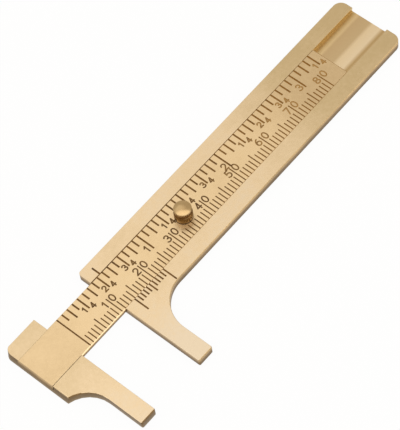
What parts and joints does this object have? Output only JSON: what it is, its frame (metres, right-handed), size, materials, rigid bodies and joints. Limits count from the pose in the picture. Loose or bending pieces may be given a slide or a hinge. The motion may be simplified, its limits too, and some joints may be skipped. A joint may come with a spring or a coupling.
{
  "type": "brass vernier slide caliper",
  "caption": "Plain brass pocket vernier caliper: a grooved body with a fixed jaw, and a graduated slide with a sliding jaw and a thumb knob.",
  "frame": {"origin": "middle of the base of the whole caliper's box, lying on its back with its jaws 13.75 mm apart", "axes": "+X along the slide towards the tail of the body, +Z out of the scale face, jaws pointing to -Y"},
  "size_m": [0.1108, 0.0336, 0.0056],
  "materials": {
    "satin_brass": "satin, rolled and lightly worn",
    "turned_brass": "turned, semi-gloss",
    "spring_bronze": "rolled strip"
  },
  "bodies": {
    "rule": {"body": "satin_brass"},
    "slider": {"slide": "satin_brass", "sliding_jaw": "satin_brass", "thumb_knob": "turned_brass", "drag_spring": "spring_bronze"}
  },
  "joints": [
    {"name": "slide_travel", "type": "slide", "parent": "rule", "child": "slider", "axis": [-1, 0, 0], "range_m": [-0.01373, 0.06625]}
  ]
}
